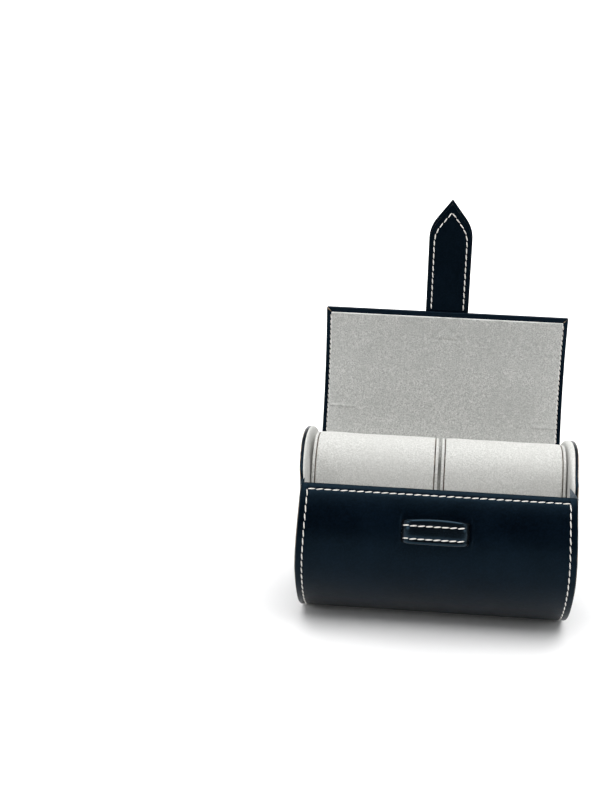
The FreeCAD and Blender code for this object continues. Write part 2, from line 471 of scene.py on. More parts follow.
def flap_line():
    """Round the drum with its flat underside, through the hinge in a soft curve, and up the lid."""
    flat_angle = math.degrees(math.asin((AXIS_Z - SHELL) / INNER_RADIUS))
    points = arc_points(FRONT_EDGE, -flat_angle, INNER_RADIUS)
    points += arc_points(360 - (180 - flat_angle), LEAVES_DRUM, INNER_RADIUS)
    joined = 3.5 * mm
    reach = 2.4 * mm
    bend_start = drum_point(LEAVES_DRUM, INNER_RADIUS)
    bend_end = lid_start + leaning(LID_TILT) * joined
    pull_start = bend_start + leaning(LEAVES_DRUM - 180) * reach
    pull_end = bend_end - leaning(LID_TILT) * reach
    for index in range(1, 13):
        t = index / 12
        points.append(bend_start * (1 - t) ** 3 + pull_start * 3 * t * (1 - t) ** 2
                      + pull_end * 3 * t * t * (1 - t) + bend_end * t ** 3)
    count = int((LID_LENGTH - joined) / (0.5 * mm))
    step = (LID_LENGTH - joined) / count
    place = points[-1]
    for index in range(count):
        place = place + leaning(lid_tilt_at(joined + (index + 0.5) * step)) * step
        points.append(place)
    return Line(points)


FLAP = flap_line()
hinge_at = FLAP.nearest(lid_start)
wrap_end = FLAP.nearest(drum_point(WRAP_STOPS, INNER_RADIUS))
lid_marks = [FLAP.length - LID_LENGTH + HALF_PLATE * share for share in (0.5, 2, 4, 6, 8)]

# Each stretch of the flap: its name, where it starts and ends, and the bodies it bends between
STRETCHES = [("wrap", 0.0, wrap_end, "case", None),
             ("hinge", wrap_end, lid_marks[0], "case", "lid_1")]
for number in range(1, 5):
    STRETCHES.append(("lid_bend_%d" % number, lid_marks[number - 1], lid_marks[number],
                      "lid_%d" % number, "lid_%d" % (number + 1)))
STRETCHES.append(("lid_front", lid_marks[4], FLAP.length, "lid_5", None))


def carry(piece, first, second=None, span=None):
    """The piece rides on one body; where a second body is given, its mesh is baked in place instead."""
    if second:
        tuple(span[0])
        tuple(span[1])
        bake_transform(piece)
    else:
        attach(piece, first)


FOLD_REACH = 3.6 * mm


def bend_span(stretch):
    """Where the bend starts and ends; at the hinge it is close to the fold."""
    name, start, end = stretch[:3]
    if name == "hinge":
        return FLAP.at(hinge_at - FOLD_REACH), FLAP.at(hinge_at + FOLD_REACH)
    return FLAP.at(start), FLAP.at(end)


def spread(height):
    """How far the ends stand out more at a height: widest near the foot."""
    return 1.0 * mm * fade(height, 68 * mm, 30 * mm)


def half_width_at(distance):
    """The wrap's half width: a little more towards the foot and on the lid."""
    share = min(max((distance - wrap_end) / (lid_marks[0] - wrap_end), 0.0), 1.0)
    foot = spread(FLAP.at(distance).z) if distance < wrap_end else 0.0
    return HALF_LENGTH + (LID_HALF_WIDTH - HALF_LENGTH) * share + foot


def stations(start, end, step, rounded_start=0.0, rounded_end=0.0, marks=()):
    """Distances along a stretch, close together where an end is rounded and at the marks."""
    places = []
    if rounded_start:
        places += [start + rounded_start * share for share in (0.0, 0.1, 0.35, 0.7)]
    count = max(int(round((end - start - rounded_start - rounded_end) / step)), 2)
    low = start + rounded_start
    high = end - rounded_end
    places += [low + (high - low) * index / count for index in range(count + 1)]
    if rounded_end:
        places += [end - rounded_end * share for share in (0.7, 0.35, 0.1, 0.0)]
    for mark in marks:
        places += [mark + shift * mm for shift in (-1.2, -0.7, -0.35, 0.0, 0.35, 0.7, 1.2)
                   if low < mark + shift * mm < high]
    return sorted(set(places))


def shrink_at(distance, start, end, rounding, rounded):
    """How far a section draws in where an end of the band is rounded."""
    shrink = 0.0
    for reach, is_round in zip((distance - start, end - distance), rounded):
        if is_round and reach < rounding:
            shrink = rounding - math.sqrt(max(rounding ** 2 - (rounding - reach) ** 2, 0.0))
    return shrink


def faces_down(out):
    """The flat underside, where the case stands on its leather."""
    return out.z < -0.97


def flap_band(name, start, end, depths, inset, rounding, step, shares, materials, rounded=(False, False),
              painted=False, outer=None, inner=None, marks=()):
    """A band of the flap between two depths, its sides inset, with relief on its two faces."""
    low, high = depths
    middle = (low + high) / 2
    rings = []
    for distance in stations(start, end, step, rounding * rounded[0], rounding * rounded[1], marks):
        shrink = shrink_at(distance, start, end, rounding, rounded)
        half = half_width_at(distance) - inset
        origin = FLAP.at(distance)
        out = FLAP.outward(distance)
        ring = []
        for x, depth in bar_section(half, low, high, rounding, shares, shrink):
            calm = fade(half - abs(x), 0.0, 1.0 * mm)
            if outer and depth > middle:
                rise = outer(x, distance)
                depth += calm * (min(rise, 0.0) if faces_down(out) else rise)
            if inner and depth < middle:
                depth -= calm * inner(x, distance)
            ring.append(origin + Vector((x, 0, 0)) + out * depth)
        rings.append(ring)
    return skin(name, rings, materials, narrow_sides(shares) if painted else None)


LEATHER_EDGE = 0.7 * mm
LINING_EDGE = 0.32 * mm
FRAME = 2.7 * mm
WRAP_INSET = 3.3 * mm
FRONT_INSET = 3.1 * mm
PITCH = 3.9 * mm
GROOVE = 0.16 * mm
STRAP_ROOT = 17.0 * mm
BOX_INSET = 2.9 * mm
BOX_LOW = STRAP_ROOT - 1.6 * mm
BOX_HIGH = 1.6 * mm
KEEPER_ANGLE = 16.6
KEEPER_HALF = 15.8 * mm
KEEPER_SHIFT = 0.5 * mm
KEEPER_BAND = 12.0 * mm
keeper_at = INNER_RADIUS * math.radians(FRONT_EDGE - KEEPER_ANGLE)


def hide_relief(x, distance):
    """The outside of wrap and lid: seams pulled in, lips at the keeper's slits, slight waves."""
    row = half_width_at(distance) - WRAP_INSET
    rise = -GROOVE * bell(abs(x) - row, 0.55 * mm)
    if abs(x) < row:
        rise -= GROOVE * bell(distance - FRONT_INSET, 0.55 * mm)
        rise -= GROOVE * bell(FLAP.length - FRONT_INSET - distance, 0.55 * mm)
    lip = fade(abs(distance - keeper_at), KEEPER_BAND / 2 + 1.0 * mm, KEEPER_BAND / 2 - 1.5 * mm)
    rise += 0.42 * mm * bell(abs(x) - KEEPER_HALF - 0.75 * mm, 0.6 * mm) * lip
    return rise + 0.07 * mm * ripple(x, distance, 17 * mm, 3.0) + 0.03 * mm * ripple(x, distance, 5 * mm, 5.0)


def line_gap(x, y, line):
    """How far a point is from a straight line between two points."""
    (x0, y0), (x1, y1) = line
    share = ((x - x0) * (x1 - x0) + (y - y0) * (y1 - y0)) / ((x1 - x0) ** 2 + (y1 - y0) ** 2)
    share = min(max(share, 0.0), 1.0)
    return math.hypot(x - x0 - share * (x1 - x0), y - y0 - share * (y1 - y0))


def box_lines():
    """The crossed box that sews the strap to the lid: (x, distance below the lid's edge)."""
    half = STRAP_HALF_WIDTH - BOX_INSET
    corners = [(-half, BOX_LOW), (half, BOX_LOW), (half, BOX_HIGH), (-half, BOX_HIGH)]
    return [(corners[a], corners[b]) for a, b in ((0, 1), (2, 3), (0, 2), (1, 3))]


CREASE_AT = 52.5 * mm
LEFT_FOLD_UP = 25.5 * mm
RIGHT_FOLD_UP = 19 * mm


def lining_relief(x, distance):
    """The lid's lining: soft waves, two upright creases, two short folds and the strap's sewing."""
    up = distance - hinge_at
    down = FLAP.length - distance
    rise = 0.11 * mm * ripple(x, distance, 19 * mm, 7.0) + 0.03 * mm * ripple(x, distance, 4 * mm, 8.0)
    upright = fade(down, 5 * mm, 14 * mm) * fade(up, 22 * mm, 34 * mm)
    rise -= 0.36 * mm * bell(abs(x) - CREASE_AT, 1.0 * mm) * upright
    rise += 0.35 * mm * bell(up - LEFT_FOLD_UP + 0.03 * (x + 62 * mm), 0.6 * mm) * fade(-x, 45 * mm, 52 * mm)
    rise += 0.3 * mm * bell(up - RIGHT_FOLD_UP, 0.7 * mm) * fade(x, 47 * mm, 54 * mm)
    if down < 20 * mm and abs(x) < 12 * mm:
        gap = min(line_gap(x, down, line) for line in box_lines())
        rise -= 0.26 * mm * bell(gap, 0.8 * mm)
    return rise


def painted_edge_highlights(cloth, front):
    """The lining is cut, not turned in; its edge faces along the sides and front take a paler colour: a
    painted highlight along the cut edge.
    """
    end, along = FLAP.at(FLAP.length - FRAME), FLAP.along(FLAP.length - FRAME)
    for polygon in cloth.data.polygons:
        at_side = abs(polygon.center.x) > LID_HALF_WIDTH - FRAME - 0.4 * mm
        at_front = front and (polygon.center - end).dot(along) > -0.4 * mm
        polygon.material_index = 1 if at_side or at_front else 0


WRAP_STEP = 1.6 * mm
LID_STEP = 0.9 * mm


def flap_pieces():
    """The wrap and lid: one leather and one suede band for each stretch of the flap."""
    row = HALF_LENGTH - WRAP_INSET
    slits = (-KEEPER_HALF - 0.7 * mm, KEEPER_HALF + 0.7 * mm)
    rows = (FRONT_INSET, FLAP.length - FRONT_INSET)
    for stretch in STRETCHES:
        name, start, end, first, second = stretch
        on_lid = name.startswith("lid")
        step = WRAP_STEP if name == "wrap" else LID_STEP
        rounded = (name == "wrap", name == "lid_front")
        shares = shares_across(HALF_LENGTH, 3.2 * mm, (-row, row) + (slits if name == "wrap" else ()))
        depths = (LINING * (not on_lid) - 0.02 * mm, SHELL)
        hide = flap_band(name + "_leather_skin", start, end, depths, 0.0, LEATHER_EDGE, step, shares,
                         [LEATHER, EDGE], rounded, painted=name == "wrap", outer=hide_relief, marks=rows)
        carry(hide, first, second, bend_span(stretch))
        low = start + (LEATHER_EDGE if name == "wrap" else 0.0)
        high = end - (FRAME if name == "lid_front" else 0.0)
        if on_lid:
            spacing = 0.8 * mm if name in ("lid_front", "lid_bend_4") else 1.4 * mm
            fine = shares_across(LID_HALF_WIDTH - FRAME, spacing)
            cloth = flap_band(name + "_suede", low, high, (-LINING, 0.15 * mm), FRAME, LINING_EDGE,
                              0.6 * mm, fine, [SHADED_LINING_SUEDE, PALE_EDGE_HIGHLIGHT], rounded, inner=lining_relief)
            painted_edge_highlights(cloth, name == "lid_front")
        else:
            cloth = flap_band(name + "_suede", low, high, (0.0, LINING), 0.3 * mm, LINING_EDGE, step, shares,
                              [SHADED_LINING_SUEDE], rounded)
        carry(cloth, first, second, bend_span(stretch))
        if name == "wrap":
            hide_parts("wrap_leather", "wrap_board")
            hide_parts("wrap_lining")
        elif on_lid:
            number = 5 if name == "lid_front" else int(name[-1])
            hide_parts("lid_%d_leather" % number, "lid_%d_board" % number)
            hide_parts("lid_%d_lining" % number)


def corner_folds():
    """The turned-in leather meets in a mitre at the lid's two front corners; the fold takes the lighter
    cut-edge colour as a painted crease highlight.
    """
    out = FLAP.outward(FLAP.length - 1.0 * mm)
    up = FLAP.along(FLAP.length - 1.0 * mm)
    edge = FLAP.at(FLAP.length)
    for side, name in SIDES:
        rings = []
        for share, width in ((0.0, 0.1), (0.08, 0.2), (0.5, 0.26), (0.92, 0.2), (1.0, 0.1)):
            reach = 0.35 * mm + (FRAME - 0.45 * mm) * share
            centre = edge - up * reach + Vector((side * (LID_HALF_WIDTH - reach), 0, 0))
            across = (up + Vector((side, 0, 0)) * -1).normalized()
            ring = []
            for step in range(10):
                angle = 2 * math.pi * step / 10
                ring.append(centre + across * (width * mm * math.cos(angle))
                            - out * (0.2 * mm * math.sin(angle) + 0.04 * mm))
            rings.append(ring)
        # The cut-edge colour on the fold is a painted crease highlight.
        carry(skin("lid_corner_fold_" + name, rings, [EDGE]), "lid_5")


def corner_tabs():
    """Leather tongues at the wrap's front corners, turned in over the rims of the end panels."""
    for side, name, length, width in ((-1, "left", 2.2 * mm, 2.0 * mm), (1, "right", 4.3 * mm, 4.2 * mm)):
        rings = []
        inside = HALF_LENGTH + 0.5 * mm - width
        for index in range(11):
            share = index / 10
            reach = width * (1 - share) ** 0.8 + 0.25 * mm
            angle = FRONT_EDGE - 1.0 + math.degrees(length / INNER_RADIUS) * share * 1.1
            ring = []
            for turn in [2 * math.pi * step / 16 for step in range(16)]:
                across = (1 + math.cos(turn)) / 2
                lift = 1.5 * mm + 0.3 * mm * math.sin(turn) - 0.3 * mm * across + 1.2 * mm * share
                point = drum_point(angle, INNER_RADIUS + lift)
                point.x = side * (inside + reach * across)
                ring.append(point)
            rings.append(ring)
        # The right tab's lighter leather is a painted sheen; the left tab keeps the keeper's dark leather.
        carry(skin("wrap_corner_tab_" + name, rings, [FOLDED_TAB_SHEEN if side > 0 else GLOSSY]), "case")


# Stitches: Geometry Nodes lay one stitch on each point of a row

STITCH_SPIN = 0.05
STITCH_SLANT = 0.1


def stitch_tree():
    """A node tree that sews: a stitch on each point, turned along its row and up from the leather."""
    tree = bpy.data.node_groups.new("sewing", "GeometryNodeTree")
    ports = tree.interface
    ports.new_socket("Geometry", in_out="INPUT", socket_type="NodeSocketGeometry")
    for label in ("Length", "Thickness", "Height", "Slant"):
        ports.new_socket(label, in_out="INPUT", socket_type="NodeSocketFloat")
    ports.new_socket("Seed", in_out="INPUT", socket_type="NodeSocketInt")
    ports.new_socket("Thread", in_out="INPUT", socket_type="NodeSocketMaterial")
    ports.new_socket("Geometry", in_out="OUTPUT", socket_type="NodeSocketGeometry")

    def add(kind, settings=None, **inputs):
        return add_node(tree, kind, settings, **inputs)

    def kept(name):
        named = add("GeometryNodeInputNamedAttribute", {"data_type": "FLOAT_VECTOR"}, Name=name)
        return named.outputs["Attribute"]

    given = add("NodeGroupInput").outputs
    lie = add("FunctionNodeAlignRotationToVector", {"axis": "X"}, Vector=kept("along"))
    stand = add("FunctionNodeAlignRotationToVector", {"axis": "Z", "pivot_axis": "X"},
                Rotation=lie.outputs[0], Vector=kept("out"))
    spin = add("FunctionNodeRandomValue", {"data_type": "FLOAT"}, Seed=given["Seed"])
    for index, limit in ((2, -STITCH_SPIN), (3, STITCH_SPIN)):
        spin.inputs[index].default_value = limit
    slant = add("ShaderNodeMath", {"operation": "ADD"})
    plug(tree, spin.outputs[1], slant.inputs[0])
    plug(tree, given["Slant"], slant.inputs[1])
    twist = add("FunctionNodeAxisAngleToRotation", Axis=(0, 0, 1), Angle=slant.outputs[0])
    turned = add("FunctionNodeRotateRotation", {"rotation_space": "LOCAL"}, Rotation=stand.outputs[0],
                 Rotate_By=twist.outputs[0])
    bead = add("GeometryNodeMeshUVSphere", Segments=8, Rings=6, Radius=0.5).outputs["Mesh"]
    sizes = add("ShaderNodeCombineXYZ")
    for index, label in enumerate(("Length", "Thickness", "Height")):
        plug(tree, given[label], sizes.inputs[index])
    laid = add("GeometryNodeTransform", Geometry=bead, Rotation=(0, math.pi / 2, 0))
    shaped = add("GeometryNodeTransform", Geometry=laid.outputs[0], Scale=sizes.outputs[0])
    sewn = add("GeometryNodeInstanceOnPoints", Points=given["Geometry"], Instance=shaped.outputs[0],
               Rotation=turned.outputs[0])
    solid = add("GeometryNodeRealizeInstances", Geometry=sewn.outputs["Instances"])
    smooth = add("GeometryNodeSetShadeSmooth", Geometry=solid.outputs[0])
    coloured = add("GeometryNodeSetMaterial", Geometry=smooth.outputs[0], Material=given["Thread"])
    plug(tree, coloured.outputs[0], add("NodeGroupOutput").inputs[0])
    return tree


SEWING = stitch_tree()


def sew(name, rows, pitch, seed, length=0.9, thickness=0.6 * mm, height=0.46 * mm):
    """Stitches along rows of (point, outward) pairs, made into one plain mesh."""
    points, alongs, outs = [], [], []
    for row in rows:
        places = np.array([tuple(point) for point, out in row])
        normals = np.array([tuple(out) for point, out in row])
        lengths = running(np.linalg.norm(np.diff(places, axis=0), axis=1))
        count = max(int(round(lengths[-1] / pitch)), 1)
        marks = (np.arange(count) + 0.5) * lengths[-1] / count

        def at(values, shift=0.0):
            columns = [np.interp(marks + shift, lengths, column) for column in values.T]
            return np.stack(columns, axis=1)

        points.append(at(places))
        alongs.append(at(places, pitch * 0.35) - at(places, -pitch * 0.35))
        outs.append(at(normals))
    mesh = bpy.data.meshes.new(name + "_points")
    mesh.from_pydata(np.concatenate(points).tolist(), [], [])
    for label, values in (("along", alongs), ("out", outs)):
        attribute = mesh.attributes.new(label, "FLOAT_VECTOR", "POINT")
        attribute.data.foreach_set("vector", np.concatenate(values).astype(np.float32).ravel())
    guide = add_object(name + "_guide", mesh)
    modifier = guide.modifiers.new("sewing", "NODES")
    modifier.node_group = SEWING
    values = {"Length": pitch * length, "Thickness": thickness, "Height": height, "Slant": STITCH_SLANT,
              "Seed": seed, "Thread": THREAD}
    for item in SEWING.interface.items_tree:
        if item.item_type == "SOCKET" and item.in_out == "INPUT" and item.name in values:
            modifier[item.identifier] = values[item.name]
    guide.update_tag()
    bpy.context.view_layer.update()
    shape = guide.evaluated_get(bpy.context.evaluated_depsgraph_get())
    result = bpy.data.meshes.new_from_object(shape)
    bpy.data.objects.remove(guide)
    return add_object(name, result)


def fine_row(start, end, point_at):
    """Points and outward directions between two distances, close enough for a smooth row."""
    count = max(int(math.ceil((end - start) / (0.7 * mm))), 2)
    return [point_at(start + (end - start) * index / count) for index in range(count + 1)]


UNDERSIDE_SINK = 0.24 * mm


def flap_side_point(side, inset, depth):
    """Gives a side row's point and outward direction; under the case the thread is pressed in."""
    def point_at(distance):
        out = FLAP.outward(distance)
        x = side * (half_width_at(distance) - inset)
        sunk = UNDERSIDE_SINK if faces_down(out) and depth > 0 else 0.0
        return FLAP.at(distance) + out * (depth - sunk) + Vector((x, 0, 0)), out
    return point_at


def across_row(distance, half, depth):
    """A straight row from side to side at one distance along the flap."""
    out = FLAP.outward(distance)
    origin = FLAP.at(distance) + out * depth
    return [(origin + Vector((x, 0, 0)), out) for x in np.linspace(-half, half, 60)]


def flap_thread():
    """The rows round the outside of wrap and lid, cut between stitches where the flap bends."""
    first = FRONT_INSET
    last = FLAP.length - FRONT_INSET
    count = int(round((last - first) / PITCH))
    pitch = (last - first) / count
    marks = [first]
    for stretch in STRETCHES[:-1]:
        marks.append(first + round((stretch[2] - first) / pitch) * pitch)
    marks.append(last)
    top = SHELL + 0.02 * mm
    half = HALF_LENGTH - WRAP_INSET
    for index, stretch in enumerate(STRETCHES):
        name = stretch[0]
        body, second = stretch[3:]
        rows = [fine_row(marks[index], marks[index + 1], flap_side_point(side, WRAP_INSET, top))
                for side in (-1, 1)]
        if name == "wrap":
            rows.append(across_row(first, half, top))
        if name == "lid_front":
            rows.append(across_row(last, half, top))
        piece = sew(name + "_thread", rows, pitch, seed=11 + index)
        carry(piece, body, second, bend_span(stretch))
        if name.startswith("lid"):
            inner_end = min(marks[index + 1], FLAP.length - FRAME - 1.0 * mm)
            inside = [fine_row(marks[index], inner_end, flap_side_point(side, FRAME - 0.3 * mm, -0.02 * mm))
                      for side in (-1, 1)]
            inside = [[(point, -out) for point, out in row] for row in inside]
            glimpse = sew(name + "_inner_thread", inside, 2.6 * mm, seed=31 + index, thickness=0.42 * mm,
                          height=0.34 * mm)
            carry(glimpse, body, second, bend_span(stretch))


# Strap: two layers, sewn outside the lid and standing straight up from its edge

STRAP_TILT = LID_TILT - 4 * LID_BEND
strap_base = joint_place("strap_fold")
strap_marks = [(joint_place("strap_curl_%d" % number) - strap_base).length for number in (1, 2, 3)]
STRAP_LENGTH = strap_marks[2] + 14.2 * mm
FOLD_STARTS = -3.0 * mm
TIP_STARTS = strap_marks[2] + 6.0 * mm
POINT_WIDTH = 0.65 * STRAP_HALF_WIDTH
UNDER_STEP = 2.2 * mm
TAPER = 21.5 * mm
POINT = 9.7 * mm
STRAP_ROW = 2.9 * mm
STRAP_PITCH = 3.45 * mm


def strap_point(x, along, depth):
    return strap_base + leaning(STRAP_TILT) * along + behind(STRAP_TILT) * depth + Vector((x, 0, 0))


def strap_half_width(along, tip):
    """Straight sides, a rounded shoulder and a straight-sided point."""
    gap = tip - along
    if gap >= TAPER:
        return STRAP_HALF_WIDTH
    if gap <= POINT:
        return POINT_WIDTH * gap / POINT
    share = (gap - POINT) / (TAPER - POINT)
    slope = POINT_WIDTH / POINT * (TAPER - POINT)
    rise = STRAP_HALF_WIDTH - POINT_WIDTH
    return POINT_WIDTH + rise * (1 - (1 - share) ** (slope / rise))


def strap_row_path():
    """The right-hand row of stitches, the same distance inside the edge all the way to the point."""
    tip = STRAP_LENGTH - UNDER_STEP
    places = np.arange(-STRAP_ROOT, tip + 0.1 * mm, 0.25 * mm)
    outline = [Vector((strap_half_width(place, tip), place)) for place in places]
    path = []
    for before, here, after in zip(outline, outline[1:], outline[2:]):
        along = (after - before).normalized()
        inside = here + Vector((-along.y, along.x)) * STRAP_ROW
        if inside.x >= 0 and (not path or inside.y > path[-1].y):
            path.append(inside)
    return path


STRAP_PATH = strap_row_path()


def strap_row_x(along):
    ys = [point.y for point in STRAP_PATH]
    return float(np.interp(along, ys, [point.x for point in STRAP_PATH], right=-1.0))


def strap_relief(x, along):
    row = strap_row_x(along)
    groove = -0.13 * mm * bell(abs(x) - row, 0.5 * mm) if row > 0 else 0.0
    return groove + 0.03 * mm * ripple(x, along, 6 * mm, 11.0)


def strap_skin(name, start, end, tip, depths, inset, bulge, material, outer=True):
    low, high = depths
    middle = (low + high) / 2
    shares = shares_across(STRAP_HALF_WIDTH, 0.65 * mm)
    rings = []
    places = stations(start, min(end, tip), 0.8 * mm)
    if end >= tip:
        places = [p for p in places if p < tip - 0.3 * mm] + [tip - 0.2 * mm, tip - 0.05 * mm]
    for along in places:
        half = max(strap_half_width(along, tip) - inset, 0.08 * mm)
        ring = []
        for x, depth in bar_section(half, low, high, min(0.35 * mm, half * 0.6), shares):
            calm = fade(half - abs(x), 0.0, 0.9 * mm)
            swell = bulge * max(1 - (abs(x) / half) ** 2.5, 0.0)
            rise = calm * (strap_relief(x, along) + swell)
            if outer == (depth > middle):
                depth += rise if outer else -rise
            ring.append(strap_point(x, along, depth))
        rings.append(ring)
    return skin(name, rings, [material, EDGE], narrow_sides(shares))


strap_middles = [(low + high) / 2 for low, high in zip([0.0] + strap_marks, strap_marks)]
strap_cuts = [-STRAP_ROOT, FOLD_STARTS] + strap_middles + [TIP_STARTS, STRAP_LENGTH]
STRAP_STRETCHES = list(zip(("root", "fold", "curl_1", "curl_2", "curl_3", "tip"), strap_cuts, strap_cuts[1:],
                           ("lid_5", "lid_5", "strap_1", "strap_2", "strap_3", "strap_4"),
                           (None, "strap_1", "strap_2", "strap_3", "strap_4", None)))


def strap_span(start, end):
    return strap_point(0, start, 0), strap_point(0, end, 0)


def strap_pieces():
    replaced = {"root": "root", "fold": "1", "curl_1": "2", "curl_2": "3", "tip": "4"}
    for name, start, end, first, second in STRAP_STRETCHES:
        span = strap_span(start, end)
        outer = strap_skin("strap_%s_outer_skin" % name, start, end, STRAP_LENGTH,
                           (STRAP_UNDER + 0.02 * mm, STRAP_THICK), 0.0, 0.22 * mm, LEATHER)
        carry(outer, first, second, span)
        under = strap_skin("strap_%s_under_skin" % name, start, end, STRAP_LENGTH - UNDER_STEP,
                           (0.0, STRAP_UNDER), 0.25 * mm, 0.1 * mm * (name != "root"), UNDER, outer=False)
        carry(under, first, second, span)
        if name in replaced:
            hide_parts("strap_%s_outer" % replaced[name])
            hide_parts("strap_%s_under" % replaced[name])


def strap_thread():
    """A row round the edge on both faces, and a crossed box where the strap is sewn on."""
    lengths = running([(b - a).length for a, b in zip(STRAP_PATH, STRAP_PATH[1:])])
    ys = [point.y for point in STRAP_PATH]
    xs = [point.x for point in STRAP_PATH]
    total = float(lengths[-1])

    def cut(along):
        """The nearest end of a stitch, counted back from the point."""
        here = float(np.interp(along, ys, lengths))
        return total - round((total - here) / STRAP_PITCH) * STRAP_PITCH

    for index, (name, start, end, first, second) in enumerate(STRAP_STRETCHES):
        span = strap_span(start, end)
        low = cut(start)
        high = total if name == "tip" else cut(end)
        if name == "root":
            low = cut(-BOX_LOW)
        rows = []
        for depth, sign in ((STRAP_THICK + 0.05 * mm, 1), (0.0, -1)):
            out = behind(STRAP_TILT) * sign
            begin = max(low, cut(1.5 * mm)) if sign < 0 else low
            if begin >= high:
                continue
            places = np.linspace(begin, high, max(int((high - begin) / (0.5 * mm)), 3))
            side = [(float(np.interp(p, lengths, xs)), float(np.interp(p, lengths, ys))) for p in places]
            for sign_x in (1, -1):
                rows.append([(strap_point(sign_x * x, along, depth), out) for x, along in side])
        if name == "root":
            out = behind(STRAP_TILT)
            over_strap = STRAP_THICK + 0.14 * mm
            for (x0, a0), (x1, a1) in box_lines():
                rows.append([(strap_point(x0 + (x1 - x0) * t, -a0 + (a0 - a1) * t, over_strap), out)
                             for t in np.linspace(0, 1, 24)])
        if not rows:
            continue
        piece = sew("strap_%s_thread" % name, rows, STRAP_PITCH, seed=51 + index, thickness=0.62 * mm,
                    height=0.42 * mm)
        carry(piece, first, second, span)


# Keeper: a leather bridge with its ends pushed through slits

KEEPER_LEATHER = 1.3 * mm
KEEPER_RISE = 3.5 * mm
KEEPER_CORNER = 4.0 * mm


KEEPER_PRESSED = 0.25 * KEEPER_BAND
KEEPER_TURN = Matrix.Rotation(-math.radians(KEEPER_ANGLE), 3, "X")
keeper_edge = KEEPER_HALF - KEEPER_LEATHER / 2


def keeper_place(x, radius, height):
    return Vector((-KEEPER_SHIFT, 0, AXIS_Z)) + KEEPER_TURN @ Vector((x, -radius, height))


def keeper_line():
    """The bridge seen from above: (x, distance from the axis, outward x, outward share)."""
    foot = WRAP_RADIUS - 1.1 * mm
    shoulder = WRAP_RADIUS + KEEPER_RISE - KEEPER_CORNER
    corner = KEEPER_CORNER + KEEPER_LEATHER / 2
    line = [(-keeper_edge, foot + (shoulder - foot) * t, -1.0, 0.0) for t in (0.0, 0.5)]
    for step in range(9):
        angle = math.pi / 2 * step / 8
        line.append((-keeper_edge + corner * (1 - math.cos(angle)), shoulder + corner * math.sin(angle),
                     -math.cos(angle), math.sin(angle)))
    flat = keeper_edge - corner
    line += [(-flat + 2 * flat * t, shoulder + corner, 0.0, 1.0) for t in np.linspace(0, 1, 24)[1:-1]]
    return line + [(-x, r, -nx, nr) for x, r, nx, nr in reversed(line[:11])]


def keeper_relief(height, x):
    """How far the band's face stands out: full between its pressed rows, with raised borders."""
    dome = 0.24 * mm * (1 - (height / (KEEPER_BAND / 2)) ** 2)
    border = 0.14 * mm * bell(abs(height) - KEEPER_BAND * 0.41, 0.7 * mm)
    pressed = 0.2 * mm * bell(abs(height + 0.4 * mm) - KEEPER_PRESSED, 0.55 * mm)
    return dome + border - pressed + 0.05 * mm * ripple(x, height, 4 * mm, 2.0)


def keeper_height(height, x):
    """The band is widest in the middle, mostly by its upper border."""
    return height * (1 - (0.18 if height > 0 else 0.03) * (x / keeper_edge) ** 2)


def keeper_pieces():
    line = keeper_line()
    middle = KEEPER_LEATHER / 2
    shares = shares_across(KEEPER_BAND / 2, 0.7 * mm)
    rings = []
    for x, radius, nx, nr in line:
        ring = []
        for height, depth in bar_section(KEEPER_BAND / 2, -middle, middle, 0.55 * mm, shares):
            reach = depth + keeper_relief(height, x) * (depth > 0)
            sag = height ** 2 / (2 * WRAP_RADIUS)
            ring.append(keeper_place(x + nx * reach, radius + nr * reach - sag, keeper_height(height, x)))
        rings.append(ring)
    band = skin("keeper_skin", rings, [GLOSSY])
    carry(band, "case")
    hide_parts("keeper_band")
    rows = []
    for height in (-KEEPER_PRESSED - 0.4 * mm, KEEPER_PRESSED - 0.4 * mm):
        row = []
        sag = height ** 2 / (2 * WRAP_RADIUS)
        for x, radius, nx, nr in line[5:-7]:
            reach = middle + keeper_relief(height, x) + 0.1 * mm
            row.append((keeper_place(x + nx * reach, radius + nr * reach - sag, height),
                        KEEPER_TURN @ Vector((nx, -nr, 0))))
        rows.append(row)
    thread = sew("keeper_thread", rows, 3.65 * mm, seed=71, length=0.95, thickness=0.62 * mm, height=0.5 * mm)
    carry(thread, "case")


# End panels: suede inside and over the rim, a leather disc outside

def panel_reach(angle):
    """From the axis to the panel's edge, which is flat where the case stands."""
    down = -math.sin(angle)
    floor = AXIS_Z - (WRAP_RADIUS - INNER_RADIUS)
    return min(INNER_RADIUS, floor / down) if down > 0.1 else INNER_RADIUS


def open_share(angle):
    """1 where the wrap leaves the panel's rim free, 0 where it holds it."""
    degrees = math.degrees(angle)
    return fade(degrees, FRONT_EDGE + 1.0, FRONT_EDGE + 9.0) * fade(degrees, HINGE - 13.0, HINGE - 27.0)


LEFT_LEAN = 3.3 * mm
RIGHT_LOW_LEAN = 0.3 * mm
RIGHT_LEAN = 2.3 * mm


def lean(height, side):
    """Nothing holds the panels at the top while the case is open: they lean outwards."""
    if side < 0:
        return LEFT_LEAN * max((height - 70 * mm) / (19 * mm), 0.0) ** 1.1
    low_part = RIGHT_LOW_LEAN * fade(height, 68 * mm, 77 * mm)
    return low_part + RIGHT_LEAN * max((height - 78 * mm) / (11.5 * mm), 0.0) ** 1.8


RIM_DEPTH = 8.0 * mm
LEAN_STARTS = 3.0 * mm


